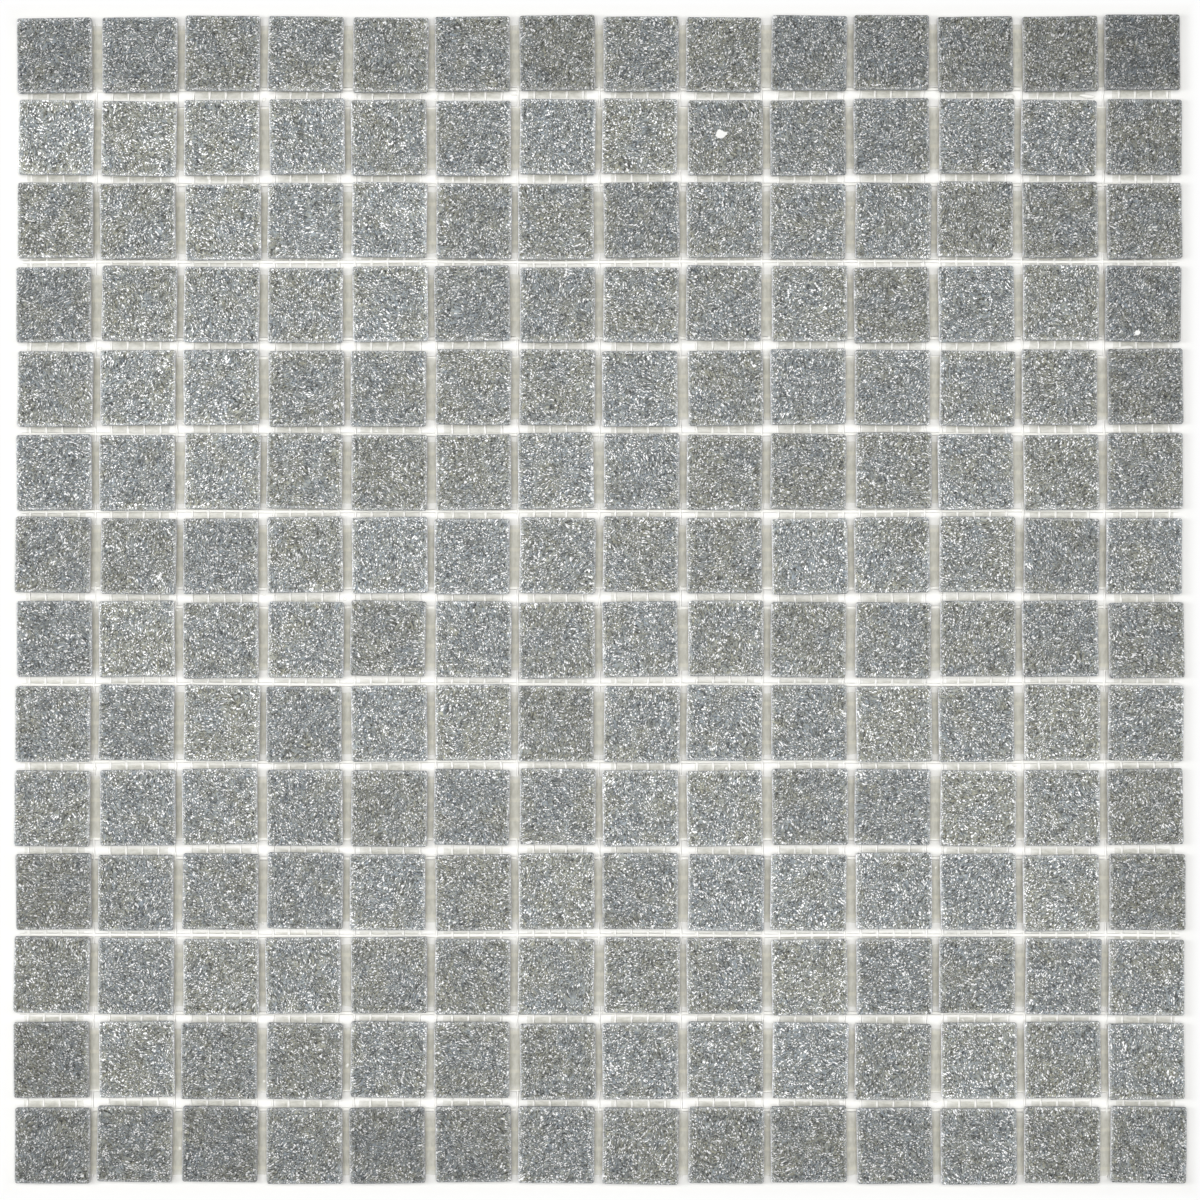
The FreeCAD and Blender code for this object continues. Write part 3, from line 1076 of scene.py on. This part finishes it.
def table_material():
    material, tree, shader = new_material("white table", Roughness=0.9)
    tree.nodes.remove(shader)
    place = add_node(tree, "ShaderNodeTexCoord").outputs["Object"]
    off_middle = add_node(tree, "ShaderNodeSeparateXYZ", {0: vector_maths(tree, "ABSOLUTE", place)})
    far = maths(tree, "MAXIMUM", off_middle.outputs[0], off_middle.outputs[1])
    rays = add_node(tree, "ShaderNodeLightPath").outputs
    seen = maths(tree, "MAXIMUM", rays["Is Camera Ray"], rays["Is Glossy Ray"])
    seen = maths(tree, "MAXIMUM", seen, rays["Is Transmission Ray"])
    paper = add_node(tree, "ShaderNodeBsdfDiffuse", {"Color": paper_white})
    glow = add_node(tree, "ShaderNodeEmission", {"Color": (1, 1, 1, 1), "Strength": 1.0})
    fade = map_range(tree, far, shadow_reach, white_from, 0.0, 1.0, "SMOOTHSTEP")
    shown = {0: fade, 1: paper.outputs[0], 2: glow.outputs[0]}
    clean = add_node(tree, "ShaderNodeMixShader", shown)
    both = {0: seen, 1: paper.outputs[0], 2: clean.outputs[0]}
    mixed = add_node(tree, "ShaderNodeMixShader", both)
    tree.links.new(mixed.outputs[0], tree.nodes["Material Output"].inputs["Surface"])
    return material


table_mesh = bpy.data.meshes.new("table")
table_corners = [(-table_half, -table_half, 0), (table_half, -table_half, 0)]
table_corners += [(table_half, table_half, 0), (-table_half, table_half, 0)]
table_mesh.from_pydata(table_corners, [], [(0, 1, 2, 3)])
table_mesh.materials.append(table_material())
table = bpy.data.objects.new("table", table_mesh)
bpy.context.scene.collection.objects.link(table)


# Two soft boxes stand left and right of the sheet, a large pale panel hangs over it, and the room
# fills in the rest. Together they light a flat white surface to white.
box_place = Vector((0.6, 0.0, 1.0))
box_size = (0.2, 0.6)
box_light = {"left": 0.2, "right": 0.07}
panel_height = 3.0
panel_side = 1.5
panel_light = 0.63
room_light = 0.17


def soft_light(name, place, size, light):
    """An area lamp aimed at the sheet. Light is about what it gives a flat surface, 1 for white."""
    lamp = bpy.data.lights.new(name, "AREA")
    lamp.shape = "RECTANGLE"
    lamp.size, lamp.size_y = size
    lamp.energy = light * math.pi**2 * place.length**3 / place.z
    holder = bpy.data.objects.new(name, lamp)
    holder.location = place
    holder.rotation_mode = "QUATERNION"
    holder.rotation_quaternion = (-place).to_track_quat("-Z", "Y")
    bpy.context.scene.collection.objects.link(holder)


for side, light in box_light.items():
    place = box_place.copy()
    place.x *= -1 if side == "left" else 1
    soft_light("soft_box_" + side, place, box_size, light)
soft_light("panel", Vector((0, 0, panel_height)), (panel_side, panel_side), panel_light)

room = bpy.data.worlds.new("white room")
room.use_nodes = True
bpy.context.scene.world = room
room_tree = room.node_tree
rays = add_node(room_tree, "ShaderNodeLightPath").outputs
seen = maths(room_tree, "MAXIMUM", rays["Is Camera Ray"], rays["Is Glossy Ray"])
seen = maths(room_tree, "MAXIMUM", seen, rays["Is Transmission Ray"])
strength = map_range(room_tree, seen, 0.0, 1.0, room_light, 1.0)
backdrop = room_tree.nodes["Background"]
backdrop.inputs["Color"].default_value = (1, 1, 1, 1)
room_tree.links.new(strength, backdrop.inputs["Strength"])


# The camera looks straight down, a touch from the near side and the right, as in the photograph.
# It stands well back behind a long lens, so the sides of the tiles show little.
camera_distance = 1.1
frame_width = 0.3134
lean_near = math.radians(1.7)
lean_right = math.radians(0.5)
camera = bpy.data.cameras.new("camera")
camera.sensor_width = 36
camera.lens = camera.sensor_width * camera_distance / frame_width
camera.clip_start = 0.01
viewer = bpy.data.objects.new("camera", camera)
aim = Vector((0.0003, -0.0007, cad_high.z))
towards = Vector((math.sin(lean_right), -math.tan(lean_near), math.cos(lean_right))).normalized()
viewer.location = aim + camera_distance * towards
viewer.rotation_euler = (lean_near, lean_right, 0)
bpy.context.scene.collection.objects.link(viewer)
bpy.context.scene.camera = viewer
bpy.context.scene.view_settings.view_transform = "Standard"
